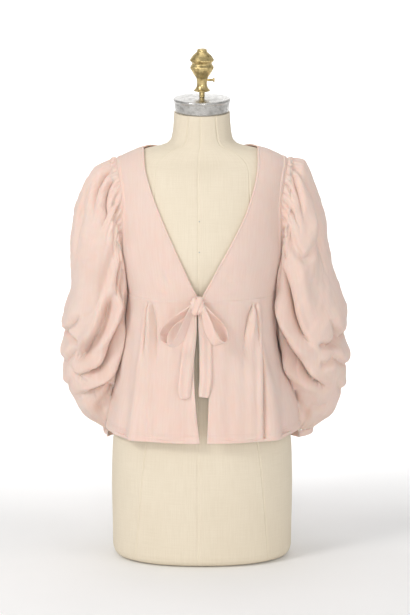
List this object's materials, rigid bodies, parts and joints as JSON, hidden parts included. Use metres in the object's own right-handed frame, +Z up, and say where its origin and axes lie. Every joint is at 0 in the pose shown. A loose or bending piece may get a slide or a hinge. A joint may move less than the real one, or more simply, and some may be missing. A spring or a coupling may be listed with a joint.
{
  "type": "cropped cardigan on a dress form",
  "caption": "Cropped knit cardigan with a deep V neck, a tied bow at a high waist, a flared peplum and full gathered sleeves, shown on a limbless linen dress form with a metal top.",
  "frame": {"origin": "centre of the dress form's flat base", "axes": "+Z up along the form, -Y out of the cardigan's front, +X to the viewer's right"},
  "size_m": [0.5175, 0.2917, 0.9188],
  "materials": {
    "knit": "fine soft blush-pink knit jersey",
    "linen": "natural cream linen, stretched smooth",
    "steel": "brushed",
    "brass": "aged satin brass"
  },
  "bodies": {
    "root": {"bodice_front_left": "knit", "bodice_front_right": "knit", "bodice_back": "knit", "peplum_front_left": "knit", "peplum_front_right": "knit", "peplum_back": "knit", "sleeve_left": "knit", "sleeve_right": "knit", "cuff_left": "knit", "cuff_right": "knit", "neck_binding": "knit", "tie_knot": "knit", "tie_loop_left": "knit", "tie_loop_right": "knit", "tie_tail_left": "knit", "tie_tail_right": "knit", "form_torso": "linen", "form_neck_cap": "steel", "form_stem": "brass", "form_finial": "brass", "form_thumbscrew": "brass"}
  },
  "joints": []
}
